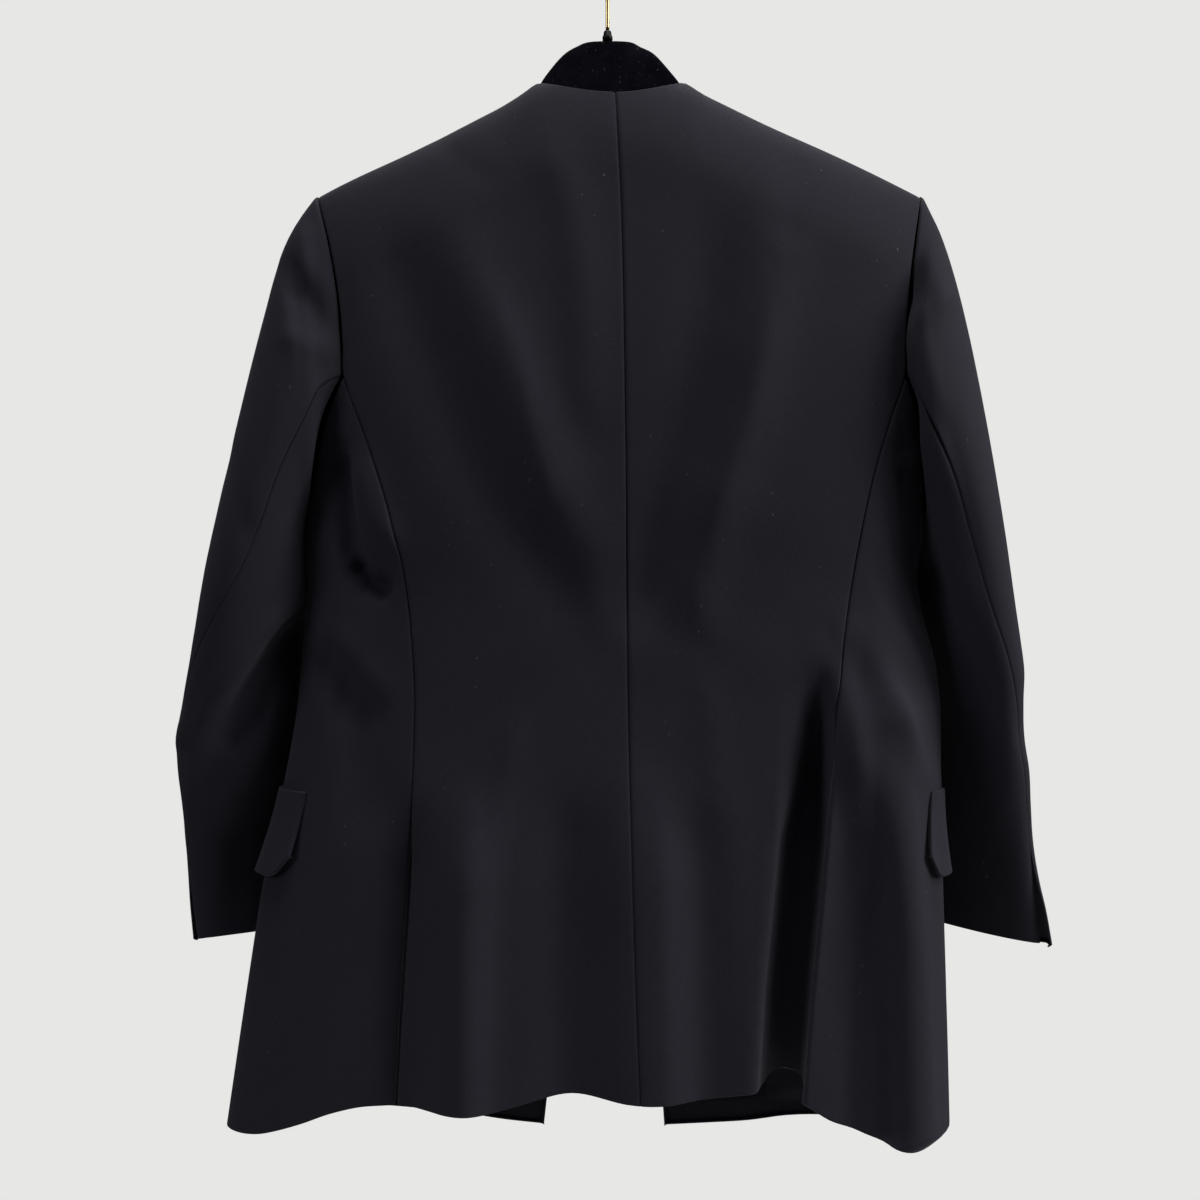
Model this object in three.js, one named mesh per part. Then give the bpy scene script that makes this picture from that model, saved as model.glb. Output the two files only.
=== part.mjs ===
// A collarless tailored jacket hanging on a slim flocked hanger with a wire hook.
// Millimetres. +Z is up, +Y is the back of the jacket, +X the wearer's left.
// The origin is the inside of the hook's top, where a rail or a door hook carries it.
import * as THREE from 'three';
import { mergeVertices } from 'three/addons/utils/BufferGeometryUtils.js';

// ---- driving dimensions ---------------------------------------------------
const clothWall = 1.6;
const seamGap = 0.5;
const armholeGap = 1.7;
const underarmGap = 1.6;
const sleeveSeamGap = 1.6;
const shoulderDrop = 78;
const tipHeight = -180.5;
const centreBackNeck = -111.5;
const armholeMiddle = -317;
const armholeBottom = -410;
const frontBreak = -425;
const hangerThickness = 5;
const wireRadius = 1.43;
const wireSteps = 44;
const wireSides = 10;
const hookRadius = 19;
const wireFoot = -57.8;
const wireBend = -47;
const wireEnd = { x: 23.5, z: -34 };
// The tables below put the top of the hook this much too low; the jacket and the
// hanger's body are moved down by it.
const jacketDrop = 16;
const flapTop = -611;
const flapLength = 62;

// ---- small helpers --------------------------------------------------------
const degree = Math.PI / 180;
const vector = (x, y, z) => new THREE.Vector3(x, y, z);
const clamp = (value, low, high) => Math.min(high, Math.max(low, value));
const mix = (from, to, share) => from + (to - from) * share;

function smooth(low, high, value) {
  const share = clamp((value - low) / (high - low), 0, 1);
  return share * share * (3 - 2 * share);
}

// A column of a table read at any key, through a cubic that bends only between rows.
function read(table, key, at, column) {
  const last = table.length - 1;
  const rising = table[last][key] > table[0][key];
  const before = (row) => (rising ? table[row][key] < at : table[row][key] > at);
  let index = 0;
  while (index < last - 1 && before(index + 1)) index += 1;
  const slope = (row) => {
    const low = Math.max(row - 1, 0);
    const high = Math.min(row + 1, last);
    return (table[high][column] - table[low][column]) / (table[high][key] - table[low][key]);
  };
  const start = table[index];
  const end = table[index + 1];
  const span = end[key] - start[key];
  const share = (at - start[key]) / span;
  if (share <= 0) return start[column];
  if (share >= 1) return end[column];
  const square = share * share;
  const cube = square * share;
  return start[column] * (2 * cube - 3 * square + 1)
    + slope(index) * span * (cube - 2 * square + share)
    + end[column] * (3 * square - 2 * cube)
    + slope(index + 1) * span * (cube - square);
}

// ---- the body's form ------------------------------------------------------
// Half widths to each side of the hook, depths behind and before the hanger,
// and the power of the rounded section (2 is an ellipse, more is squarer).
const sections = [
  { z: -60, left: 226, right: 242, back: 42, front: 38, power: 3 },
  { z: -180, left: 226, right: 242, back: 50, front: 46, power: 3 },
  { z: -250, left: 222, right: 240, back: 56, front: 52, power: 3 },
  { z: -317, left: 217, right: 236, back: 60, front: 56, power: 3 },
  { z: -410, left: 213, right: 228, back: 61, front: 58, power: 2.8 },
  { z: -432, left: 216.8, right: 227.5, back: 59.5, front: 57, power: 2.7 },
  { z: -475, left: 219, right: 224.5, back: 57, front: 54, power: 2.6 },
  { z: -515, left: 223, right: 236, back: 57.5, front: 54, power: 2.6 },
  { z: -557, left: 227, right: 239.5, back: 58, front: 54, power: 2.6 },
  { z: -607, left: 236, right: 241, back: 61, front: 56, power: 2.6 },
  { z: -673, left: 250, right: 242, back: 64, front: 59, power: 2.6 },
  { z: -731, left: 259, right: 243, back: 66, front: 61, power: 2.6 },
  { z: -798, left: 269, right: 244.5, back: 68, front: 62, power: 2.6 },
  { z: -880, left: 281, right: 246, back: 69, front: 63, power: 2.6 },
];

// The shoulder line of each side, from above the neck to beyond the tip.
const shoulderLine = {
  left: [
    { x: 0, z: -84 }, { x: 30, z: -89 }, { x: 53, z: -98.5 }, { x: 68, z: -108.5 },
    { x: 79, z: -115 }, { x: 139, z: -145.5 }, { x: 188, z: -168 }, { x: 212, z: tipHeight },
    { x: 250, z: -202 },
  ],
  right: [
    { x: 0, z: -84 }, { x: 30, z: -88 }, { x: 58, z: -98 }, { x: 67, z: -103.5 },
    { x: 89, z: -114.5 }, { x: 119, z: -129 }, { x: 163, z: -148.5 }, { x: 196, z: -164 },
    { x: 229, z: tipHeight }, { x: 265, z: -200 },
  ],
};
const neckPoint = { left: 53, right: 58 };
const tipPoint = { left: 212, right: 229 };
const armholeBack = { left: 188, right: 212 };
const armholeFront = { left: 184, right: 208 };

const centreBack = [
  { z: -111, x: -5.5 }, { z: -205, x: -10 }, { z: -345, x: -12.5 },
  { z: -575, x: -15 }, { z: -755, x: -20 }, { z: -830, x: -23 },
];
// Side-back seams, from the armhole down to the hem.
const sideBack = {
  left: [
    { z: -317, x: 188 }, { z: -337, x: 180.5 }, { z: -365, x: 169.5 }, { z: -409, x: 155.5 },
    { z: -459, x: 143.5 }, { z: -531, x: 136.5 }, { z: -585, x: 136.8 }, { z: -674, x: 141 },
    { z: -761, x: 146 }, { z: -834, x: 149.5 },
  ],
  right: [
    { z: -317, x: 212 }, { z: -347, x: 201 }, { z: -371, x: 193 }, { z: -414, x: 182 },
    { z: -458, x: 173 }, { z: -503, x: 166 }, { z: -557, x: 161.5 }, { z: -627, x: 155.4 },
    { z: -689, x: 149.8 }, { z: -757, x: 142.8 }, { z: -826, x: 137 },
  ],
};
const frontEdge = {
  left: [
    { z: -98, x: 53 }, { z: -200, x: 42 }, { z: -320, x: 25 }, { z: frontBreak, x: 10 },
    { z: -520, x: 12 }, { z: -700, x: 30 }, { z: -876, x: 50 },
  ],
  right: [
    { z: -98, x: 58 }, { z: -200, x: 50 }, { z: -320, x: 34 }, { z: frontBreak, x: 20 },
    { z: -520, x: 20 }, { z: -700, x: 32 }, { z: -876, x: 45 },
  ],
};
// The hem, by distance from the middle, behind and before the side.
const hemBack = [
  { x: -247, z: -854 }, { x: -235, z: -860 }, { x: -221, z: -863.5 }, { x: -206, z: -861 },
  { x: -191, z: -855 }, { x: -168, z: -845 }, { x: -149, z: -836 }, { x: -137, z: -827 },
  { x: -130, z: -811 }, { x: -116, z: -817 }, { x: -97, z: -820 }, { x: -65, z: -824 },
  { x: -23, z: -826 }, { x: 28, z: -820 }, { x: 87, z: -832 }, { x: 150, z: -831.5 },
  { x: 183, z: -832 }, { x: 215, z: -844 }, { x: 250, z: -855.5 }, { x: 279, z: -857 },
];
const hemFront = [
  { x: -247, z: -854 }, { x: -200, z: -866 }, { x: -150, z: -867 }, { x: -86, z: -872.5 },
  { x: -45, z: -876 }, { x: 50, z: -875 }, { x: 100, z: -866.5 }, { x: 180, z: -860 }, { x: 279, z: -857 },
];

// Largest folds: soft troughs (depth below zero) and ridges along a line of the
// body, each with a half width, on the back or the front. A steep one has another
// half width on the side away from the middle.
const folds = [
  {
    face: 'back', width: 20, depth: 4.5,
    line: [[128, -172], [101, -235], [80, -292], [55, -348], [34, -404], [8, -454]],
  },
  {
    face: 'back', width: 21, depth: -4.5,
    line: [[170, -185], [150, -235], [129, -292], [108, -348], [83, -404], [36, -452]],
  },
  { face: 'back', width: 16, depth: 3, line: [[52, -130], [28, -190], [18, -250], [14, -320]] },
  {
    face: 'back', width: 20, depth: 5,
    line: [[-132, -168], [-122, -235], [-106, -292], [-97, -348], [-79, -404], [-62, -466]],
  },
  {
    face: 'back', width: 21, depth: -5,
    line: [[-82, -180], [-76, -235], [-65, -292], [-58, -348], [-41, -404], [-28, -466]],
  },
  { face: 'back', width: 17, depth: 7, line: [[-17, -560], [-19, -680], [-21, -760], [-23, -850]] },
  { face: 'back', width: 21, depth: -7, line: [[28, -580], [28, -680], [27, -760], [24, -850]] },
  { face: 'back', width: 17, depth: 8, line: [[92, -600], [99, -700], [103, -850]] },
  { face: 'back', width: 16, depth: -9, line: [[142, -610], [147, -720], [149, -850]] },
  { face: 'back', width: 20, depth: -6, line: [[-56, -590], [-64, -700], [-68, -850]] },
  {
    face: 'back', width: 14, depth: 6,
    line: [[-132, -570], [-127, -627], [-120, -689], [-112, -757], [-104, -860]],
  },
  {
    face: 'back', width: 14, steep: 6, depth: -27,
    line: [[-157, -520], [-152, -560], [-146, -627], [-140.5, -689], [-133.5, -757], [-127, -860]],
  },
  {
    face: 'back', width: 11, depth: 8,
    line: [[-165, -560], [-158, -627], [-153, -689], [-147, -757], [-140, -860]],
  },
  {
    face: 'back', width: 22, depth: 17,
    line: [[-168, -490], [-180, -570], [-196, -630], [-206, -700], [-209, -860]],
  },
  { face: 'back', width: 12, depth: -4, line: [[-172, -600], [-176, -700], [-174, -860]] },
  { face: 'back', width: 15, depth: -6, line: [[204, -352], [193, -400], [180, -445], [166, -468]] },
  { face: 'back', width: 14, depth: -5, line: [[214, -500], [176, -556], [168, -620]] },
  { face: 'front', width: 20, depth: -7, line: [[110, -470], [96, -560], [92, -700], [90, -880]] },
  { face: 'front', width: 20, depth: -7, line: [[-100, -480], [-98, -600], [-96, -740], [-94, -880]] },
  { face: 'front', width: 22, depth: -7, line: [[150, -250], [120, -330], [90, -400], [40, -440]] },
  { face: 'front', width: 22, depth: -7, line: [[-165, -250], [-130, -330], [-96, -400], [-50, -440]] },
  { face: 'front', width: 16, depth: 6, line: [[160, -600], [164, -720], [166, -880]] },
  { face: 'front', width: 16, depth: 6, line: [[-150, -600], [-152, -720], [-154, -880]] },
];

function foldLift(table, face, x, z) {
  let lift = 0;
  for (const fold of table) {
    if (fold.face !== face) continue;
    let nearest = Infinity;
    let along = 0;
    let beyond = false;
    const pieces = fold.line.length - 1;
    for (let index = 0; index < pieces; index += 1) {
      const [startX, startZ] = fold.line[index];
      const [endX, endZ] = fold.line[index + 1];
      const runX = endX - startX;
      const runZ = endZ - startZ;
      const share = clamp(((x - startX) * runX + (z - startZ) * runZ) / (runX * runX + runZ * runZ), 0, 1);
      const away = Math.hypot(x - startX - runX * share, z - startZ - runZ * share);
      if (away < nearest) {
        nearest = away;
        along = (index + share) / pieces;
        beyond = Math.abs(x) > Math.abs(startX + runX * share);
      }
    }
    const taper = smooth(0, 0.3, along) * (fold.closed ? smooth(1, 0.7, along) : 1);
    const width = beyond && fold.steep ? fold.steep : fold.width;
    lift += fold.depth * taper * Math.exp(-((nearest / width) ** 2));
  }
  return lift;
}

const sideOf = (x) => (x >= 0 ? 'left' : 'right');

// The turn around the body is 0 at the centre back, 90 at either side and 180 at
// the centre front; it is positive on the wearer's left.
function bodyPoint(turn, z) {
  const side = turn >= 0 ? 'left' : 'right';
  const power = read(sections, 'z', z, 'power');
  const across = Math.abs(Math.sin(turn * degree));
  const along = Math.cos(turn * degree);
  const face = along >= 0 ? 'back' : 'front';
  const reach = (across ** power + Math.abs(along) ** power) ** (-1 / power);
  const x = Math.sign(turn) * read(sections, 'z', z, side) * reach * across;
  const drop = clamp((read(shoulderLine[side], 'x', Math.abs(x), 'z') - z) / shoulderDrop, 0, 1);
  const round = Math.sqrt(1 - (1 - drop) ** 2);
  const depth = read(sections, 'z', z, face) * reach * Math.abs(along) * round;
  const share = smooth(0, 0.45, Math.abs(along)) * smooth(0, 1, drop * 1.6);
  const lift = foldLift(folds, face, x, z) * share;
  return vector(x, Math.sign(along) * (depth + lift), z);
}

function turnAt(x, z, face) {
  const side = sideOf(x);
  const power = read(sections, 'z', z, 'power');
  const share = clamp(Math.abs(x) / read(sections, 'z', z, side), 0, 1);
  const rest = (1 - share ** power) ** (1 / power);
  const turn = Math.atan2(share, rest) / degree;
  const sign = x >= 0 ? 1 : -1;
  return sign * (face === 'back' ? turn : 180 - turn);
}

function bodyNormal(turn, z) {
  const step = 0.35;
  const around = bodyPoint(turn + step, z).sub(bodyPoint(turn - step, z));
  const upward = bodyPoint(turn, z + 1.5).sub(bodyPoint(turn, z - 1.5));
  const normal = around.cross(upward).normalize();
  return normal.negate();
}

// ---- sheets of cloth ------------------------------------------------------
// A wall between two sheets of four-sided cells; sheet(u, v) gives the outer
// point and the direction that faces out.
function clothPanel(columns, rows, sheet, thickness = clothWall) {
  const outer = [];
  const inner = [];
  for (let row = 0; row <= rows; row += 1) {
    for (let column = 0; column <= columns; column += 1) {
      const { point, normal } = sheet(column / columns, row / rows);
      outer.push(point);
      inner.push(point.clone().addScaledVector(normal, -thickness));
    }
  }
  const at = (column, row) => row * (columns + 1) + column;
  const middle = at(columns >> 1, rows >> 1);
  const across = outer[middle + 1].clone().sub(outer[middle]);
  const upward = outer[middle + columns + 1].clone().sub(outer[middle]);
  const facing = outer[middle].clone().sub(inner[middle]);
  const turned = across.cross(upward).dot(facing) < 0;
  const points = [...outer, ...inner];
  const corners = [];
  const triangle = (a, b, c) => corners.push(...(turned ? [a, c, b] : [a, b, c]));
  const behind = outer.length;
  for (let row = 0; row < rows; row += 1) {
    for (let column = 0; column < columns; column += 1) {
      const cell = [at(column, row), at(column + 1, row), at(column + 1, row + 1), at(column, row + 1)];
      const shift = (column + row) % 2;
      const [a, b, c, d] = [0, 1, 2, 3].map((corner) => cell[(corner + shift) % 4]);
      triangle(a, b, c);
      triangle(a, c, d);
      triangle(behind + a, behind + c, behind + b);
      triangle(behind + a, behind + d, behind + c);
    }
  }
  const edge = [];
  for (let column = 0; column < columns; column += 1) edge.push(at(column, 0));
  for (let row = 0; row < rows; row += 1) edge.push(at(columns, row));
  for (let column = columns; column > 0; column -= 1) edge.push(at(column, rows));
  for (let row = rows; row > 0; row -= 1) edge.push(at(0, row));
  edge.forEach((from, index) => {
    const to = edge[(index + 1) % edge.length];
    triangle(from, behind + to, to);
    triangle(from, behind + from, behind + to);
  });
  const geometry = new THREE.BufferGeometry();
  const numbers = points.flatMap((point) => point.toArray());
  geometry.setAttribute('position', new THREE.Float32BufferAttribute(numbers, 3));
  geometry.setIndex(corners);
  return geometry;
}

// ---- the armhole ----------------------------------------------------------
// A loop around each armhole: 0 at the shoulder tip, 90 behind, 180 under the
// arm, 270 before.
function armholeTurn(side, around) {
  const sign = side === 'left' ? 1 : -1;
  const behind = turnAt(sign * armholeBack[side], armholeMiddle, 'back');
  const before = turnAt(sign * armholeFront[side], armholeMiddle, 'front');
  if (around <= 180) return mix(behind, sign * 90, (around - 90) / 90);
  return mix(sign * 90, before, (around - 180) / 90);
}

function armholeSpot(side, around) {
  const sign = side === 'left' ? 1 : -1;
  const rise = Math.cos(around * degree);
  if (around > 90 && around < 270) {
    const z = armholeMiddle + (armholeMiddle - armholeBottom) * rise;
    return { turn: armholeTurn(side, around), z };
  }
  const face = around <= 90 ? 'back' : 'front';
  const line = face === 'back' ? armholeBack : armholeFront;
  const z = mix(armholeMiddle, tipHeight, rise);
  const x = sign * mix(line[side], tipPoint[side], rise ** 2.2);
  return { turn: turnAt(x, z, face), z };
}

function armholePoint(side, around) {
  const full = ((around % 360) + 360) % 360;
  const spot = armholeSpot(side, full);
  return bodyPoint(spot.turn, spot.z);
}

// The armhole's edge by height, above its middle, as a distance from the hook.
function armholeEdge(side, face, z) {
  const rise = clamp((z - armholeMiddle) / (tipHeight - armholeMiddle), 0, 1);
  const line = face === 'back' ? armholeBack : armholeFront;
  return mix(line[side], tipPoint[side], rise ** 2.2);
}

// ---- body panels ----------------------------------------------------------
const frontSeamAround = 203;
const frontSeamFoot = { left: 93, right: 85, z: -800 };
// Heights near the hem, where a panel's edges are first looked up.
const hemNear = { back: -828, side: -850, front: -866 };

function frontSeamTurn(side, z) {
  const start = Math.abs(armholeTurn(side, frontSeamAround));
  return mix(start, frontSeamFoot[side], smooth(armholeBottom, frontSeamFoot.z, z));
}

// A four-sided patch between four edges, each a function of 0 to 1 giving [p, q].
function blend(bottom, top, start, end, u, v) {
  const corners = [bottom(0), bottom(1), top(0), top(1)];
  const edges = [bottom(u), top(u), start(v), end(v)];
  return [0, 1].map((axis) => {
    const rows = mix(edges[0][axis], edges[1][axis], v);
    const columns = mix(edges[2][axis], edges[3][axis], u);
    const low = mix(corners[0][axis], corners[1][axis], u);
    const high = mix(corners[2][axis], corners[3][axis], u);
    return rows + columns - mix(low, high, v);
  });
}

// Rows below the armhole are even, so that they meet those of the side panel;
// above it they crowd towards the shoulder.
const seamRows = 16;
const upperRows = 10;
const backColumns = 18;
const panelColumns = 12;
const sleeveRows = 24;

function rowShare(v, joint) {
  const row = v * (seamRows + upperRows);
  if (row <= seamRows) return joint * row / seamRows;
  return joint + (1 - joint) * (1 - (1 - (row - seamRows) / upperRows) ** 1.6);
}

// The point of the body at a distance across and a height, kept off the ridge of
// the shoulder, where both panels end.
function facePoint(face, x, z, onRidge) {
  const turn = turnAt(x, z, face);
  const point = bodyPoint(turn, z);
  const sign = face === 'back' ? 1 : -1;
  if (sign * point.y < seamGap / 2) point.y = sign * seamGap / 2;
  if (!onRidge) return { point, normal: bodyNormal(turn, z) };
  const line = shoulderLine[sideOf(x)];
  const run = read(line, 'x', Math.abs(x) + 1, 'z') - read(line, 'x', Math.abs(x) - 1, 'z');
  const normal = vector(-Math.sign(x) * run / 2, 0, 1).normalize();
  return { point, normal };
}

function backPanel(side) {
  const sign = side === 'left' ? 1 : -1;
  const inner = (z) => read(centreBack, 'z', z, 'x') + sign * seamGap / 2;
  const outer = (z) => {
    if (z > armholeMiddle) return sign * armholeEdge(side, 'back', z);
    return sign * (read(sideBack[side], 'z', z, 'x') - seamGap / 2);
  };
  const hemInner = read(hemBack, 'x', inner(hemNear.back), 'z');
  const hemOuter = read(hemBack, 'x', outer(hemNear.back), 'z');
  const neckShare = 0.34;
  const bottom = (u) => {
    const x = mix(inner(hemInner), outer(hemOuter), u);
    return [x, read(hemBack, 'x', x, 'z')];
  };
  const start = (v) => {
    const z = mix(hemInner, centreBackNeck, v);
    return [inner(z), z];
  };
  const joint = 0.79;
  const end = (v) => {
    const lower = v <= joint;
    const z = lower
      ? mix(hemOuter, armholeMiddle, v / joint)
      : mix(armholeMiddle, tipHeight, (v - joint) / (1 - joint));
    return [outer(z), z];
  };
  const top = (u) => {
    const line = shoulderLine[side];
    if (u < neckShare) {
      const share = u / neckShare;
      const x = mix(inner(centreBackNeck), sign * neckPoint[side], share);
      const point = read(line, 'x', neckPoint[side], 'z');
      return [x, mix(centreBackNeck, point, share ** 1.8)];
    }
    const x = mix(neckPoint[side], tipPoint[side], (u - neckShare) / (1 - neckShare));
    return [sign * x, read(line, 'x', x, 'z')];
  };
  return clothPanel(backColumns, seamRows + upperRows, (u, v) => {
    const [x, z] = blend(bottom, top, start, end, u, rowShare(v, joint));
    const onRidge = v === 1 && u > neckShare - 0.01;
    return facePoint('back', x, z, onRidge);
  });
}

function frontPanel(side) {
  const sign = side === 'left' ? 1 : -1;
  const spot = armholeSpot(side, frontSeamAround);
  const edge = (z) => sign * read(frontEdge[side], 'z', z, 'x');
  const hemAt = (x) => read(hemFront, 'x', x, 'z');
  const hemEdge = hemAt(edge(hemNear.front));
  const seamTurn = (z) => {
    const turn = frontSeamTurn(side, z);
    const speed = bodyPoint(sign * (turn + 0.5), z).distanceTo(bodyPoint(sign * (turn - 0.5), z));
    return sign * (turn + seamGap / 2 / speed);
  };
  // Across this panel the turn is the coordinate, so that it can pass the side.
  const turnOf = (x, z) => turnAt(x, z, 'front');
  const hemSeamTurn = seamTurn(hemNear.front);
  const hemSeam = hemAt(bodyPoint(hemSeamTurn, hemNear.front).x);
  const bottom = (u) => {
    const turn = mix(turnOf(edge(hemEdge), hemEdge), hemSeamTurn, u);
    return [turn, hemAt(bodyPoint(turn, hemNear.front).x)];
  };
  const line = shoulderLine[side];
  const top = (u) => {
    const x = mix(neckPoint[side], tipPoint[side], u);
    const z = read(line, 'x', x, 'z');
    return [turnOf(sign * x, z), z];
  };
  const start = (v) => {
    const z = mix(hemEdge, read(line, 'x', neckPoint[side], 'z'), v);
    return [turnOf(edge(z), z), z];
  };
  const seamShare = (spot.z - hemSeam) / (tipHeight - hemSeam);
  const end = (v) => {
    if (v <= seamShare) {
      const z = mix(hemSeam, spot.z, v / seamShare);
      return [seamTurn(z), z];
    }
    const share = (v - seamShare) / (1 - seamShare);
    const around = mix(frontSeamAround, 360, share);
    const place = armholeSpot(side, around);
    return [place.turn, place.z];
  };
  return clothPanel(panelColumns, seamRows + upperRows, (u, v) => {
    const [turn, z] = blend(bottom, top, start, end, u, rowShare(v, seamShare));
    const point = bodyPoint(turn, z);
    if (v < 1) return { point, normal: bodyNormal(turn, z) };
    return facePoint('front', point.x, z, true);
  });
}

function sidePanel(side) {
  const sign = side === 'left' ? 1 : -1;
  const spot = armholeSpot(side, frontSeamAround);
  const backTurn = (z) => {
    const x = sign * (read(sideBack[side], 'z', z, 'x') + seamGap / 2);
    return turnAt(x, z, 'back');
  };
  const frontTurn = (z) => {
    const turn = frontSeamTurn(side, z);
    const speed = bodyPoint(sign * (turn + 0.5), z).distanceTo(bodyPoint(sign * (turn - 0.5), z));
    return sign * (turn - seamGap / 2 / speed);
  };
  const hemAt = (turn) => {
    const table = Math.abs(turn) > 90 ? hemFront : hemBack;
    return read(table, 'x', bodyPoint(turn, hemNear.side).x, 'z');
  };
  const backHem = hemAt(backTurn(hemNear.back));
  const frontHem = hemAt(frontTurn(hemNear.front));
  const bottom = (u) => {
    const turn = mix(backTurn(backHem), frontTurn(frontHem), u);
    return [turn, hemAt(turn)];
  };
  const top = (u) => {
    const place = armholeSpot(side, mix(90.01, frontSeamAround, u));
    const first = backTurn(armholeMiddle);
    const last = frontTurn(spot.z);
    const turn = clamp(Math.abs(place.turn), Math.abs(first), Math.abs(last));
    return [sign * turn, place.z];
  };
  const start = (v) => {
    const z = mix(backHem, armholeMiddle, v);
    return [backTurn(z), z];
  };
  const end = (v) => {
    const z = mix(frontHem, spot.z, v);
    return [frontTurn(z), z];
  };
  return clothPanel(panelColumns, seamRows, (u, v) => {
    const [turn, z] = blend(bottom, top, start, end, u, v);
    return { point: bodyPoint(turn, z), normal: bodyNormal(turn, z) };
  });
}

// ---- sleeves --------------------------------------------------------------
// Rings down each sleeve: the centre, the half of it that points behind (and
// turns outward down the forearm), and the half that points to the outer side.
const sleeveRings = {
  left: [
    { x: 227.2, y: 0, z: -315, hollow: -20, behindX: 0, behindY: 54, outX: 8.2, outY: 0, outZ: 99 },
    { x: 234.3, y: 0, z: -342, hollow: -11, behindX: 0, behindY: 58, outX: 15.3, outY: 0, outZ: 77 },
    { x: 242.5, y: 0, z: -382, hollow: -4, behindX: 1, behindY: 59, outX: 23.3, outY: 0, outZ: 50 },
    { x: 249, y: 0, z: -426, hollow: 0, behindX: 5, behindY: 58, outX: 30.4, outY: 0, outZ: 27 },
    { x: 257.6, y: -1, z: -474, hollow: 0, behindX: 13, behindY: 54, outX: 32.2, outY: -4, outZ: 12 },
    { x: 264.4, y: -8, z: -530, hollow: 0, behindX: 27, behindY: 46, outX: 29.2, outY: -17, outZ: 4 },
    { x: 272, y: -20, z: -590, hollow: 0, behindX: 35, behindY: 38, outX: 26, outY: -23, outZ: 0 },
    { x: 271, y: -40, z: -655, hollow: 0, behindX: 39, behindY: 31, outX: 13, outY: -18, outZ: -4 },
    { x: 253, y: -58, z: -725, hollow: 0, behindX: 54, behindY: 28, outX: 11, outY: -19, outZ: -3 },
  ],
  right: [
    { x: 238.6, y: 0, z: -313, hollow: -18, behindX: 0, behindY: 54, outX: 7.2, outY: 0, outZ: 98 },
    { x: 245.5, y: 0, z: -342, hollow: -10, behindX: 0, behindY: 58, outX: 14.7, outY: 0, outZ: 74 },
    { x: 251.8, y: -2, z: -382, hollow: -3, behindX: 2, behindY: 59, outX: 21.2, outY: 0, outZ: 48 },
    { x: 255.7, y: -4, z: -426, hollow: 0, behindX: 6, behindY: 58, outX: 27.5, outY: 0, outZ: 24 },
    { x: 261.7, y: -7, z: -474, hollow: 0, behindX: 10, behindY: 56, outX: 29.7, outY: -2, outZ: 10 },
    { x: 270.4, y: -14, z: -530, hollow: 0, behindX: 17, behindY: 53, outX: 26.6, outY: -8, outZ: 4 },
    { x: 272.7, y: -26, z: -590, hollow: 0, behindX: 26, behindY: 47, outX: 22.7, outY: -13, outZ: 0 },
    { x: 274.4, y: -42, z: -655, hollow: 0, behindX: 36, behindY: 40, outX: 18.4, outY: -17, outZ: -2 },
    { x: 273.1, y: -58, z: -722, hollow: 0, behindX: 50, behindY: 36, outX: 17.1, outY: -17, outZ: -2 },
  ],
};
const innerSeam = -110;
const elbowSeam = {
  left: [
    { along: 0, around: 90 }, { along: 0.17, around: 103 }, { along: 0.32, around: 103 },
    { along: 0.45, around: 101 }, { along: 0.55, around: 92 }, { along: 0.62, around: 78 },
    { along: 0.69, around: 66 }, { along: 0.78, around: 66 }, { along: 0.89, around: 76 },
    { along: 1, around: 88 },
  ],
  right: [
    { along: 0, around: 90 }, { along: 0.15, around: 102 }, { along: 0.29, around: 104 },
    { along: 0.43, around: 102 }, { along: 0.56, around: 94 }, { along: 0.65, around: 88 },
    { along: 0.77, around: 86 }, { along: 1, around: 90 },
  ],
};
// Folds of the sleeves, by degrees around and millimetres down.
const sleeveLength = 540;
const sleeveFolds = [
  { face: 'left', width: 11, depth: 3, closed: true, line: [[150, 296], [134, 330], [120, 362], [108, 410]] },
  {
    face: 'left', width: 17, depth: -11, closed: true,
    line: [[198, 270], [166, 340], [142, 392], [126, 450]],
  },
  { face: 'left', width: 12, depth: -5, closed: true, line: [[20, 50], [45, 64], [62, 62], [84, 16]] },
  { face: 'left', width: 11, depth: 3, closed: true, line: [[5, 24], [30, 36], [62, 40]] },
  { face: 'left', width: 13, depth: 4, closed: true, line: [[56, 404], [84, 412], [116, 418], [150, 410]] },
  { face: 'left', width: 14, depth: -5, closed: true, line: [[58, 430], [84, 438], [116, 442], [150, 436]] },
  { face: 'right', width: 11, depth: -4, closed: true, line: [[44, 2], [58, 12], [76, 28]] },
  { face: 'right', width: 13, depth: 4, closed: true, line: [[84, 12], [60, 50], [36, 92]] },
  {
    face: 'right', width: 16, depth: -7, closed: true,
    line: [[170, 210], [150, 280], [140, 350], [132, 440]],
  },
  { face: 'right', width: 14, depth: -4, closed: true, line: [[20, 380], [60, 396], [100, 402]] },
];
// Each cuff slopes by this much, its outer edge the lower.
const cuffSlope = { left: 4, right: 9 };

function ringPoint(side, ring, around) {
  const sign = side === 'left' ? 1 : -1;
  if (ring <= 0) {
    const under = smooth(0.1, -0.3, Math.cos(around * degree));
    const shift = armholeGap + underarmGap * under;
    return armholePoint(side, around).add(vector(sign * shift, 0, 0));
  }
  const rings = sleeveRings[side];
  const row = rings[Math.min(ring, rings.length) - 1];
  const behind = Math.sin(around * degree);
  const out = Math.cos(around * degree);
  return vector(
    sign * (row.x + row.hollow * behind * behind + row.behindX * behind + row.outX * out),
    row.y + row.behindY * behind + row.outY * out,
    row.z + row.outZ * out - cuffSlope[side] * behind * smooth(7, 9, ring),
  );
}

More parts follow.
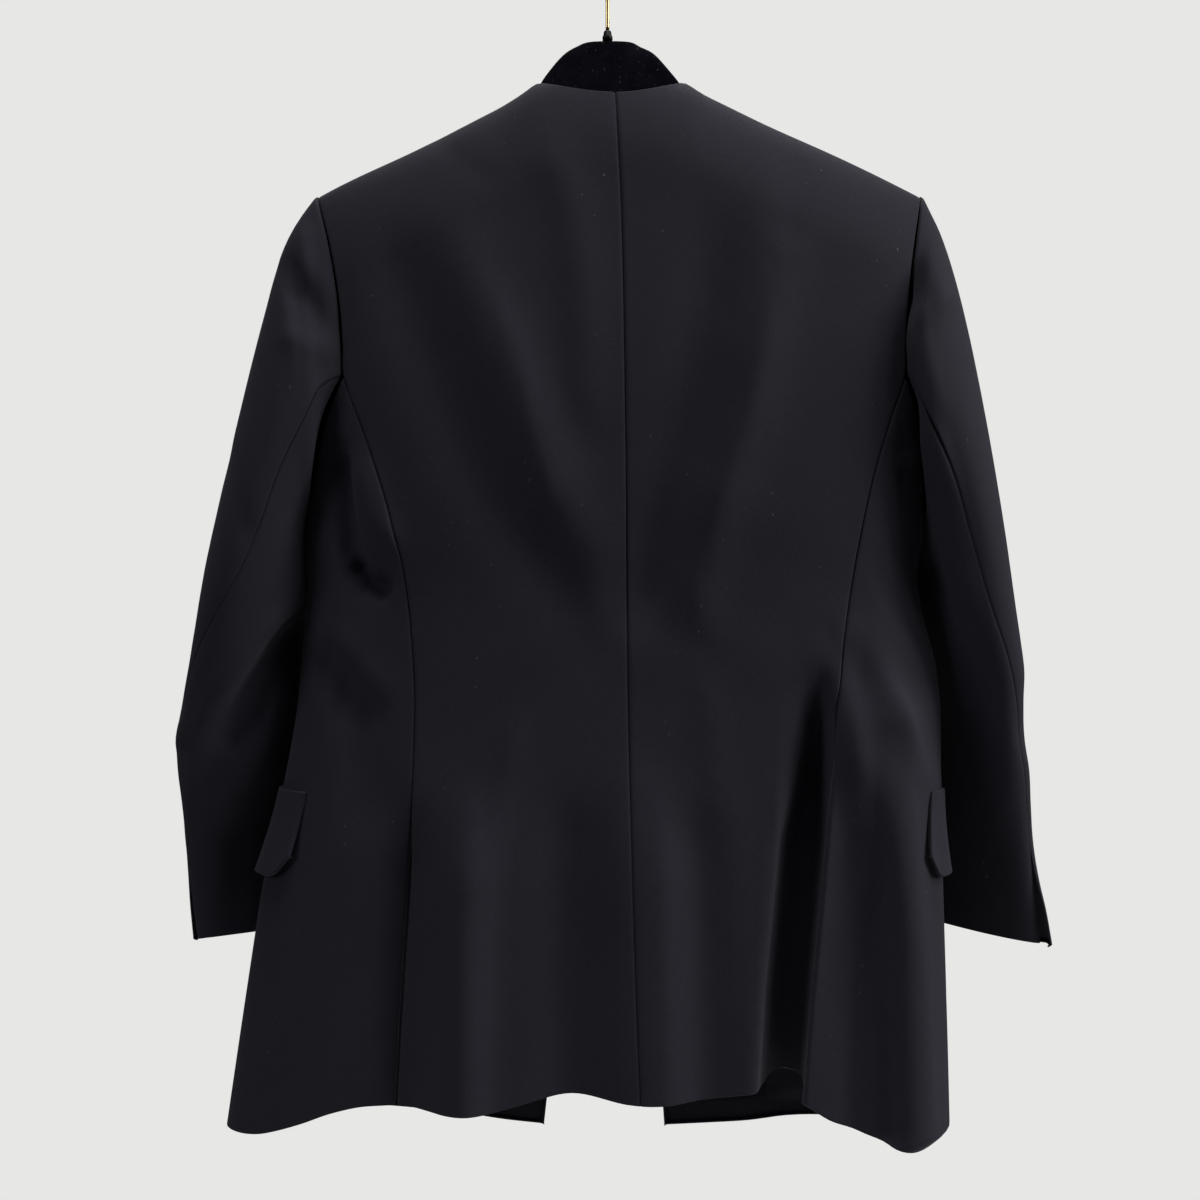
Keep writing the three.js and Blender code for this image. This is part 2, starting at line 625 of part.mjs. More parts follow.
function sleeveForm(side, around, along) {
  const count = sleeveRings[side].length;
  const place = clamp(along, 0, 1) * count;
  const index = Math.min(Math.floor(place), count - 1);
  const share = place - index;
  const [a, b, c, d] = [-1, 0, 1, 2].map((step) => {
    const ring = index + step;
    if (ring < 0) {
      const first = ringPoint(side, 0, around);
      return first.clone().multiplyScalar(2).sub(ringPoint(side, 1, around));
    }
    if (ring > count) {
      const last = ringPoint(side, count, around);
      return last.clone().multiplyScalar(2).sub(ringPoint(side, count - 1, around));
    }
    return ringPoint(side, ring, around);
  });
  const square = share * share;
  const cube = square * share;
  const point = vector(0, 0, 0);
  point.addScaledVector(a, (-cube + 2 * square - share) / 2);
  point.addScaledVector(b, (3 * cube - 5 * square + 2) / 2);
  point.addScaledVector(c, (-3 * cube + 4 * square + share) / 2);
  point.addScaledVector(d, (cube - square) / 2);
  return point;
}

function formNormal(form, side, around, along) {
  const sign = side === 'left' ? 1 : -1;
  const near = clamp(along, 0.004, 0.996);
  const across = form(side, around + 1, near).sub(form(side, around - 1, near));
  const down = form(side, around, near + 0.004).sub(form(side, around, near - 0.004));
  return across.cross(down).normalize().multiplyScalar(-sign);
}

function sleevePoint(side, around, along) {
  const point = sleeveForm(side, around, along);
  const lift = foldLift(sleeveFolds, side, around, along * sleeveLength);
  const fade = smooth(0, 0.03, along);
  return point.addScaledVector(formNormal(sleeveForm, side, around, along), lift * fade);
}

const ventLength = 0.13;
const ventSpread = 34;
const ventStand = { left: 3, right: 9 };

function sleevePiece(side, isTop, columns) {
  return clothPanel(columns, sleeveRows, (u, v) => {
    const near = (around) => {
      const step = sleevePoint(side, around + 1, v).distanceTo(sleevePoint(side, around - 1, v)) / 2;
      return sleeveSeamGap / 2 / Math.max(step, 0.2);
    };
    const elbow = read(elbowSeam[side], 'along', v, 'around');
    const [from, to] = isTop ? [innerSeam, elbow] : [elbow, 360 + innerSeam];
    const around = mix(from + near(from), to - near(to), u);
    const point = sleevePoint(side, around, v);
    const normal = formNormal(sleevePoint, side, around, v);
    const vent = smooth(1 - ventLength, 1, v) * smooth(ventSpread, 0, Math.abs(around - elbow));
    if (isTop) point.addScaledVector(normal, ventStand[side] * vent);
    return { point, normal };
  });
}

// ---- pocket flaps ---------------------------------------------------------
const flapSpan = {
  left: { from: 58, lowerFrom: 58, to: 146 },
  right: { from: 63, lowerFrom: 58, to: 147 },
};

function pocketFlap(side) {
  const sign = side === 'left' ? 1 : -1;
  const span = flapSpan[side];
  const width = 135;
  const corner = 16;
  const sag = 6;
  const flare = 5;
  return clothPanel(18, 4, (u, v) => {
    const turn = sign * mix(mix(span.from, span.lowerFrom, v), span.to, u);
    const end = Math.min(u, 1 - u) * width;
    const rest = clamp(corner - end, 0, corner);
    const rounding = corner - Math.sqrt(corner * corner - rest * rest);
    const top = flapTop - sag * (1 - Math.cos((turn - sign * 90) * degree));
    const z = top - (flapLength - rounding) * v;
    const stand = seamGap + 0.6 + clothWall + flare * v * v;
    const normal = bodyNormal(turn, z);
    const point = bodyPoint(turn, z).addScaledVector(normal, stand);
    return { point, normal };
  });
}

// ---- hanger, ferrule and hook --------------------------------------------
function hangerBody() {
  const play = 1;
  const lean = 1.28;
  const under = (clothWall + seamGap + play) * lean;
  const line = (side, x) => read(shoulderLine[side], 'x', x, 'z') - under;
  const half = {
    left: {
      hump: [[15, -66.4], [22, -68.5], [32.5, -75], [43.5, -88.3], [49.5, -97], [51.5, -104]],
      arm: [62, 74, 90, 115, 140, 165, 190],
      end: [[204, line('left', 196) - 7], [205, line('left', 196) - 16], [196, -196], [184, -201]],
    },
    right: {
      hump: [[16.5, -66.4], [25, -67.8], [35.5, -75.8], [48, -90.5], [54, -98], [56.5, -105]],
      arm: [68, 80, 96, 120, 145, 170, 196],
      end: [[212, line('right', 200) - 8], [213, line('right', 200) - 17], [204, -197], [192, -201]],
    },
  };
  const spots = (side) => {
    const { hump, arm, end } = half[side];
    return [...hump, ...arm.map((x) => [x, line(side, x)]), ...end];
  };
  const outline = new THREE.Shape();
  outline.moveTo(0, -65.6);
  for (const [x, z] of spots('left')) outline.lineTo(x, z);
  for (const [x, z] of spots('right').reverse()) outline.lineTo(-x, z);
  const hole = new THREE.Path();
  const window = [[0, -127], [34, -128.5], [60, -136], [180, -187], [178, -190.5], [150, -192.5]];
  hole.moveTo(0, -127);
  for (const [x, z] of window.slice(1)) hole.lineTo(x, z);
  for (const [x, z] of window.slice(1).reverse()) hole.lineTo(-x, z);
  outline.holes.push(hole);
  return slab(outline, hangerThickness);
}

// A flat outline in X and Z, with its holes, given a thickness across Y.
function slab(outline, thickness) {
  const { shape, holes } = outline.extractPoints(1);
  const loops = [shape, ...holes];
  if (THREE.ShapeUtils.isClockWise(shape)) shape.reverse();
  for (const loop of holes) if (!THREE.ShapeUtils.isClockWise(loop)) loop.reverse();
  const cells = THREE.ShapeUtils.triangulateShape(shape, holes);
  const flat = loops.flat();
  const numbers = [];
  for (const y of [-thickness / 2, thickness / 2]) {
    for (const spot of flat) numbers.push(spot.x, y, spot.y);
  }
  const count = flat.length;
  const corners = [];
  for (const [a, b, c] of cells) corners.push(a, b, c, count + a, count + c, count + b);
  let first = 0;
  for (const loop of loops) {
    loop.forEach((spot, index) => {
      const from = first + index;
      const to = first + ((index + 1) % loop.length);
      corners.push(from, count + to, to, from, count + from, count + to);
    });
    first += loop.length;
  }
  const geometry = new THREE.BufferGeometry();
  geometry.setAttribute('position', new THREE.Float32BufferAttribute(numbers, 3));
  geometry.setIndex(corners);
  return geometry;
}

function closed(geometry) {
  const bare = geometry.clone();
  bare.deleteAttribute('normal');
  bare.deleteAttribute('uv');
  return mergeVertices(bare, 1e-4);
}

function ferrule() {
  const profile = [
    [0, -65.2], [3.7, -65.2], [3.7, -62.5], [3.1, -61.6], [2.7, -58.9], [2.2, -58.3], [0, -58.3],
  ];
  const lathe = new THREE.LatheGeometry(profile.map(([r, z]) => new THREE.Vector2(r, z)), 24);
  lathe.rotateX(Math.PI / 2);
  return closed(lathe);
}

class HookPath extends THREE.Curve {
  constructor() {
    super();
    const centre = -hookRadius;
    const reach = hookRadius + wireRadius;
    const foot = wireFoot - jacketDrop;
    const spots = [foot, foot + 10, foot + 20, wireBend].map((z) => vector(0, 0, z));
    for (let angle = -52; angle <= 212; angle += 12) {
      spots.push(vector(-reach * Math.cos(angle * degree), 0, centre + reach * Math.sin(angle * degree)));
    }
    spots.push(vector(wireEnd.x, 0, wireEnd.z));
    this.path = new THREE.CatmullRomCurve3(spots, false, 'centripetal');
  }

  getPoint(share) {
    return this.path.getPoint(share);
  }
}

function hook() {
  const wire = new THREE.Shape();
  for (let side = 0; side < wireSides; side += 1) {
    const angle = 2 * Math.PI * side / wireSides;
    const spot = [wireRadius * Math.cos(angle), wireRadius * Math.sin(angle)];
    if (side === 0) wire.moveTo(...spot);
    else wire.lineTo(...spot);
  }
  wire.closePath();
  const settings = { steps: wireSteps, bevelEnabled: false, extrudePath: new HookPath() };
  return closed(new THREE.ExtrudeGeometry(wire, settings));
}

// ---- assembly -------------------------------------------------------------
const group = new THREE.Group();
const cloth = { color: 0x17161b, roughness: 0.9 };
const flock = { color: 0x0b0b0c, roughness: 1 };
const fitting = { color: 0x0d0d0f, roughness: 0.45 };
const gold = { color: 0xc79a4b, roughness: 0.28, metalness: 1 };

function add(name, geometry, look, drop = jacketDrop) {
  geometry.translate(0, 0, -drop);
  const mesh = new THREE.Mesh(geometry, new THREE.MeshStandardMaterial(look));
  mesh.name = name;
  group.add(mesh);
}

for (const side of ['left', 'right']) {
  add(`back_${side}`, backPanel(side), cloth);
  add(`side_${side}`, sidePanel(side), cloth);
  add(`front_${side}`, frontPanel(side), cloth);
  add(`top_sleeve_${side}`, sleevePiece(side, true, 13), cloth);
  add(`under_sleeve_${side}`, sleevePiece(side, false, 12), cloth);
  add(`flap_${side}`, pocketFlap(side), cloth);
}
add('hanger_body', hangerBody(), flock);
add('ferrule', ferrule(), fitting);
add('hook', hook(), gold, 0);

export default group;
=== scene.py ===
import math
import bmesh
import bpy
import numpy as np
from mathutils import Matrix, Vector


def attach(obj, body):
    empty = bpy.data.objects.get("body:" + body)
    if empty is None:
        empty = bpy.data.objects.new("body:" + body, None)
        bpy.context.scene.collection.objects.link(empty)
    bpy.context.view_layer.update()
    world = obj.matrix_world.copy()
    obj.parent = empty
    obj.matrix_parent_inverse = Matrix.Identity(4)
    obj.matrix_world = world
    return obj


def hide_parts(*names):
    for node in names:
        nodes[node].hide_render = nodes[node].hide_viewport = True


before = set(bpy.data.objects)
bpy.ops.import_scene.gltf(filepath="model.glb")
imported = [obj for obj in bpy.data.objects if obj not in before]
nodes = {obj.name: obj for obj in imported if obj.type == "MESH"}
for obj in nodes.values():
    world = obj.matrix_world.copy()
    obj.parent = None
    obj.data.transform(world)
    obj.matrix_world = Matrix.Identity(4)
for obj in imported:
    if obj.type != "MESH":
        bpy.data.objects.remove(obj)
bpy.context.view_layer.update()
scene = bpy.context.scene
print("frame loaded:", len(nodes), "nodes")


# A socket of a shader, wrapped so that it takes Python's own operators.
class Value:
    def __init__(self, look, socket):
        self.look = look
        self.socket = socket

    def sum(self, operation, *others):
        made = self.look.make("ShaderNodeMath", {"operation": operation}, dict(enumerate((self, *others))))
        return Value(self.look, made.outputs[0])

    def __add__(self, other):
        return self.sum("ADD", other)

    def __mul__(self, other):
        return self.sum("MULTIPLY", other)

    def __sub__(self, other):
        return self.sum("SUBTRACT", other)


# One material: its fixed values, and the nodes that feed the rest.
class Look:
    def __init__(self, name, fixed):
        self.material = bpy.data.materials.new(name)
        self.material.use_nodes = True
        self.tree = self.material.node_tree
        self.shader = self.tree.nodes["Principled BSDF"]
        for socket, value in fixed.items():
            self.shader.inputs[socket].default_value = value

    def make(self, kind, settings, values):
        node = self.tree.nodes.new(kind)
        for name, value in settings.items():
            setattr(node, name, value)
        for socket, value in values.items():
            self.feed(node.inputs[socket], value)
        return node

    def feed(self, socket, value):
        if isinstance(value, Value):
            self.tree.links.new(value.socket, socket)
        else:
            socket.default_value = value

    def coords(self, kind, scale, turn=0.0):
        source = self.make("ShaderNodeTexCoord", {}, {})
        placed = self.make(
            "ShaderNodeMapping", {},
            {"Vector": Value(self, source.outputs[kind]), "Scale": scale, "Rotation": (0, 0, turn)},
        )
        return Value(self, placed.outputs[0])

    def noise(self, place, scale, detail=2.0, roughness=0.5):
        made = self.make(
            "ShaderNodeTexNoise", {},
            {"Vector": place, "Scale": scale, "Detail": detail, "Roughness": roughness},
        )
        return Value(self, made.outputs[0])

    def axis(self, vector, index):
        made = self.make("ShaderNodeSeparateXYZ", {}, {"Vector": vector})
        return Value(self, made.outputs[index])

    def ramp(self, value, low, high):
        made = self.make(
            "ShaderNodeMapRange", {"interpolation_type": "SMOOTHSTEP"},
            {"Value": value, "From Min": low, "From Max": high},
        )
        return Value(self, made.outputs[0])

    def blend(self, share, first, second):
        made = self.make("ShaderNodeMix", {"data_type": "RGBA"}, {0: share, 6: first, 7: second})
        return Value(self, made.outputs[2])

    def bump(self, height, strength, distance):
        made = self.make(
            "ShaderNodeBump", {},
            {"Height": height, "Strength": strength, "Distance": distance},
        )
        self.feed(self.shader.inputs["Normal"], Value(self, made.outputs[0]))


# Threads are longer than wide, so their noise is stretched along warp or weft.
suitingLook = {
    "dark": (0.0096, 0.0089, 0.0148, 1), "light": (0.0180, 0.0166, 0.0248, 1),
    "roughness": 0.86, "specular": 0.22,
    "sheen": 0.03, "sheenRoughness": 0.45, "sheenTint": (0.9, 0.9, 1.0, 1),
    "warp": (2600, 160, 1), "weft": (160, 2600, 1), "slub": (24, 420, 1), "cloud": 9.0,
    "threadShare": 0.45, "slubShare": 0.28, "cloudShare": 0.35, "toneDrop": 0.27, "tone": (0.1, 0.9),
    "relief": 0.22, "reliefDepth": 0.0004, "slubRelief": 0.5,
}
lintLook = {
    "colour": (0.16, 0.16, 0.17, 1), "size": (420, 300, 1), "turn": 0.6, "speck": (0.845, 0.875),
    "patch": 14.0, "gathered": (0.42, 0.62), "height": (-0.55, -0.1), "topShare": 0.5, "anyShare": 0.12,
}


def suiting():
    look = Look("suiting", {
        "Roughness": suitingLook["roughness"], "Specular IOR Level": suitingLook["specular"],
        "Sheen Weight": suitingLook["sheen"], "Sheen Roughness": suitingLook["sheenRoughness"],
        "Sheen Tint": suitingLook["sheenTint"],
    })
    plain = look.coords("UV", (1, 1, 1))
    warp = look.noise(look.coords("UV", suitingLook["warp"]), 1.0, 1.0)
    weft = look.noise(look.coords("UV", suitingLook["weft"]), 1.0, 1.0)
    slub = look.noise(look.coords("UV", suitingLook["slub"]), 1.0, 3.0)
    cloud = look.noise(plain, suitingLook["cloud"], 3.0)
    threads = (warp + weft) * suitingLook["threadShare"] + slub * suitingLook["slubShare"]
    tone = threads + cloud * suitingLook["cloudShare"] - suitingLook["toneDrop"]
    cloth = look.blend(look.ramp(tone, *suitingLook["tone"]), suitingLook["dark"], suitingLook["light"])
    upper = look.ramp(look.axis(plain, 1), *lintLook["height"])
    gathered = look.ramp(look.noise(plain, lintLook["patch"], 2.0), *lintLook["gathered"])
    grains = look.noise(look.coords("UV", lintLook["size"], lintLook["turn"]), 1.0, 0.0)
    speck = look.ramp(grains, *lintLook["speck"])
    share = speck * gathered * (upper * lintLook["topShare"] + lintLook["anyShare"])
    look.feed(look.shader.inputs["Base Color"], look.blend(share, cloth, lintLook["colour"]))
    height = warp + weft + slub * suitingLook["slubRelief"]
    look.bump(height, suitingLook["relief"], suitingLook["reliefDepth"])
    return look.material


flockLook = {
    "deep": (0.0006, 0.0005, 0.0022, 1), "raised": (0.0034, 0.0030, 0.0078, 1), "shade": (0.3, 0.75),
    "pile": 2600.0, "brushed": 70.0, "relief": 0.5, "reliefDepth": 0.0003,
    "lint": (0.10, 0.10, 0.12, 1), "lintSize": (620, 300, 480), "speck": (0.70, 0.78), "lintShare": 0.35,
}


def flocking():
    look = Look("flock", {
        "Roughness": 0.95, "Specular IOR Level": 0.08, "Sheen Weight": 0.04, "Sheen Roughness": 0.4,
    })
    place = look.coords("Object", (1, 1, 1))
    pile = look.noise(place, flockLook["pile"], 2.0)
    brushed = look.noise(place, flockLook["brushed"], 3.0)
    shade = look.ramp(pile * 0.5 + brushed * 0.5, *flockLook["shade"])
    velvet = look.blend(shade, flockLook["deep"], flockLook["raised"])
    grains = look.noise(look.coords("Object", flockLook["lintSize"]), 1.0, 1.0)
    speck = look.ramp(grains, *flockLook["speck"]) * flockLook["lintShare"]
    look.feed(look.shader.inputs["Base Color"], look.blend(speck, velvet, flockLook["lint"]))
    look.bump(pile, flockLook["relief"], flockLook["reliefDepth"])
    return look.material


wireLook = {
    "colour": (0.78, 0.56, 0.25, 1), "drawn": (1, 1, 0.12), "grain": 1800.0, "rough": 0.2, "spread": 0.12,
}


def goldWire():
    look = Look("wire", {"Base Color": wireLook["colour"], "Metallic": 1.0})
    drawn = look.noise(look.coords("Object", wireLook["drawn"]), wireLook["grain"], 2.0)
    streaks = look.ramp(drawn, 0.0, 1.0)
    look.feed(look.shader.inputs["Roughness"], streaks * wireLook["spread"] + wireLook["rough"])
    return look.material


fittingLook = {"colour": (0.0025, 0.0025, 0.0032, 1), "grain": 900.0, "rough": 0.35, "spread": 0.2}


def fittingBlack():
    look = Look("fitting", {"Base Color": fittingLook["colour"], "Specular IOR Level": 0.2})
    grain = look.noise(look.coords("Object", (1, 1, 1)), fittingLook["grain"], 2.0)
    look.feed(look.shader.inputs["Roughness"], grain * fittingLook["spread"] + fittingLook["rough"])
    return look.material


looks = {"suiting": suiting(), "flock": flocking(), "wire": goldWire(), "fitting": fittingBlack()}
print("materials made")

# The solids' walls, and the thinner one that is drawn. Faces with an edge as
# long as the wall is thick are the rim between the outer and the inner sheet.
wall = {"thickness": 0.0016, "drawn": 0.0012, "slack": 0.000002, "merge": 0.00002}


# The largest connected sheet that faces the given way.
def sheetFaces(shell, facing):
    seen = set()
    best = []
    for first in shell.faces:
        if first in seen:
            continue
        seen.add(first)
        reach = [first]
        for face in reach:
            for edge in face.edges:
                for other in edge.link_faces:
                    if other not in seen:
                        seen.add(other)
                        reach.append(other)
        turned = sum((face.normal * face.calc_area() for face in reach), Vector())
        if turned.dot(Vector(facing)) > 0 and len(reach) > len(best):
            best = reach
    return best


# A solid's outer sheet as rows of points, the first row along its top edge.
def outerGrid(name, columns, rows, facing):
    shell = bmesh.new()
    shell.from_mesh(nodes[name].data)
    bmesh.ops.remove_doubles(shell, verts=shell.verts, dist=wall["merge"])
    rim = [face for face in shell.faces
           if any(abs(edge.calc_length() - wall["thickness"]) < wall["slack"] for edge in face.edges)]
    bmesh.ops.delete(shell, geom=rim, context="FACES")
    kept = set(sheetFaces(shell, facing))
    bmesh.ops.delete(shell, geom=[face for face in shell.faces if face not in kept], context="FACES")
    near = {v: {edge.other_vert(v) for edge in v.link_edges} for v in shell.verts}
    border = {v: [edge.other_vert(v) for edge in v.link_edges if edge.is_boundary] for v in shell.verts}
    size = {v: len(v.link_faces) for v in shell.verts}
    corners = [v for v, both in border.items() if both
               and (size[v] == 1 or (size[v] == 2 and all(size[b] == 2 for b in both)))]
    start = max(corners, key=lambda v: v.co.z)
    loop = [start, border[start][0]]
    while len(loop) < 2 * (columns + rows):
        ahead = [v for v in border[loop[-1]] if v is not loop[-2]]
        loop.append(ahead[0])
    around = len(loop)
    options = []
    for place in [loop.index(v) for v in corners]:
        for step in (1, -1):
            top = [loop[(place + step * i) % around] for i in range(columns + 1)]
            side = [loop[(place - step * i) % around] for i in range(rows + 1)]
            if top[-1] in corners and side[-1] in corners:
                height = sum(v.co.z for v in top) / len(top)
                options.append((height, top, side))
    options.sort(key=lambda option: option[0])
    top, side = options[-1][1:]
    grid = [top]
    for row in range(1, rows + 1):
        line = [side[row]]
        for column in range(1, columns + 1):
            corner = grid[-1][column - 1]
            shared = (near[line[-1]] & near[grid[-1][column]]) - {corner}
            line.append(shared.pop())
        grid.append(line)
    points = np.array([[tuple(v.co) for v in line] for line in grid])
    shell.free()
    across = points[rows // 2, columns // 2 + 1] - points[rows // 2, columns // 2]
    down = points[rows // 2 + 1, columns // 2] - points[rows // 2, columns // 2]
    if np.dot(np.cross(across, down), facing) > 0:
        points = points[:, ::-1]
    return points


# A smooth curve through rows of points, read at places counted in rows.
def curved(points, places):
    last = len(points) - 1
    low = np.clip(np.floor(places).astype(int), 0, last - 1)
    share = (places - low)[:, None, None]
    ends = np.concatenate([2 * points[:1] - points[1:2], points, 2 * points[-1:] - points[-2:-1]])
    a, b, c, d = (ends[low + step] for step in range(4))
    return b + 0.5 * share * (c - a + share * (2 * a - 5 * b + 4 * c - d + share * (3 * (b - c) + d - a)))


edgeSteps = (0.0, 0.0004, 0.0009, 0.0016, 0.0026, 0.0042)  # from each edge inwards
edgeTurn = edgeSteps[2]  # how far from the edge the cloth starts to turn in
edgeBand = edgeSteps[-1] * 1.5
clothStep = 0.0042
tiny = 1e-12  # keeps a division clear of zero


# Fine places along a row of cells: even inside, close together at both ends.
def finePlaces(lengths):
    count = len(lengths)
    places = []
    for cell, length in enumerate(lengths):
        parts = max(1, round(length / clothStep))
        places += [cell + part / parts for part in range(parts)]
    places.append(count)
    low, high = edgeBand / lengths[0], count - edgeBand / lengths[-1]
    inside = [place for place in places if low < place < high]
    first = [step / lengths[0] for step in edgeSteps]
    final = [count - step / lengths[-1] for step in reversed(edgeSteps)]
    return np.array(first + inside + final)


def unit(vectors):
    return vectors / np.maximum(np.linalg.norm(vectors, axis=2, keepdims=True), tiny)


def squareTo(points):
    down, across = np.gradient(points, axis=0), np.gradient(points, axis=1)
    return unit(np.cross(down, across))


def lengthsAlong(points, axis):
    steps = np.linalg.norm(np.diff(points, axis=axis), axis=2)
    start = np.zeros_like(np.take(steps, [0], axis=axis))
    return np.concatenate([start, np.cumsum(steps, axis=axis)], axis=axis)


def smoothStep(low, high, value):
    share = np.clip((value - low) / (high - low), 0, 1)
    return share * share * (3 - 2 * share)


# Creases placed on the cloth: a line in metres across the way it faces
# (x and z behind or before, y and z at a side), with a half width and a height,
# below zero where it sinks. One with a tip comes to a sharper crest.
ways = {"back": (0, 1, 1), "front": (0, 1, -1), "left": (1, 0, 1), "right": (1, 0, -1)}


creaseEnd = 0.3  # the share of its length over which a crease fades, if it gives none
facingFrom, facingFull = -0.05, 0.25  # a crease fades out where the cloth turns away


def creaseLift(name, points, normals):
    lift = np.zeros(points.shape[:2])
    for crease in creases:
        if name not in crease["on"]:
            continue
        flat, facing, sign = ways[crease.get("face", "back")]
        line = np.array(crease["line"])
        pieces = len(line) - 1
        nearest = np.full(lift.shape, np.inf)
        along = np.zeros(lift.shape)
        for index in range(pieces):
            start, run = line[index], line[index + 1] - line[index]
            offset = points[:, :, [flat, 2]] - start
            share = np.clip((offset @ run) / (run @ run), 0, 1)
            away = np.linalg.norm(offset - share[:, :, None] * run, axis=2)
            closer = away < nearest
            nearest = np.where(closer, away, nearest)
            along = np.where(closer, (index + share) / pieces, along)
        opening = smoothStep(0, crease.get("start", creaseEnd), along)
        closing = smoothStep(1, 1 - crease.get("end", creaseEnd), along)
        side = smoothStep(facingFrom, facingFull, normals[:, :, facing] * sign)
        if "tip" in crease:
            shape = np.exp(-np.sqrt(nearest ** 2 + crease["tip"] ** 2) / crease["width"])
        else:
            shape = np.exp(-((nearest / crease["width"]) ** 2))
        lift += crease["depth"] * (opening * closing) * side * shape
    return lift


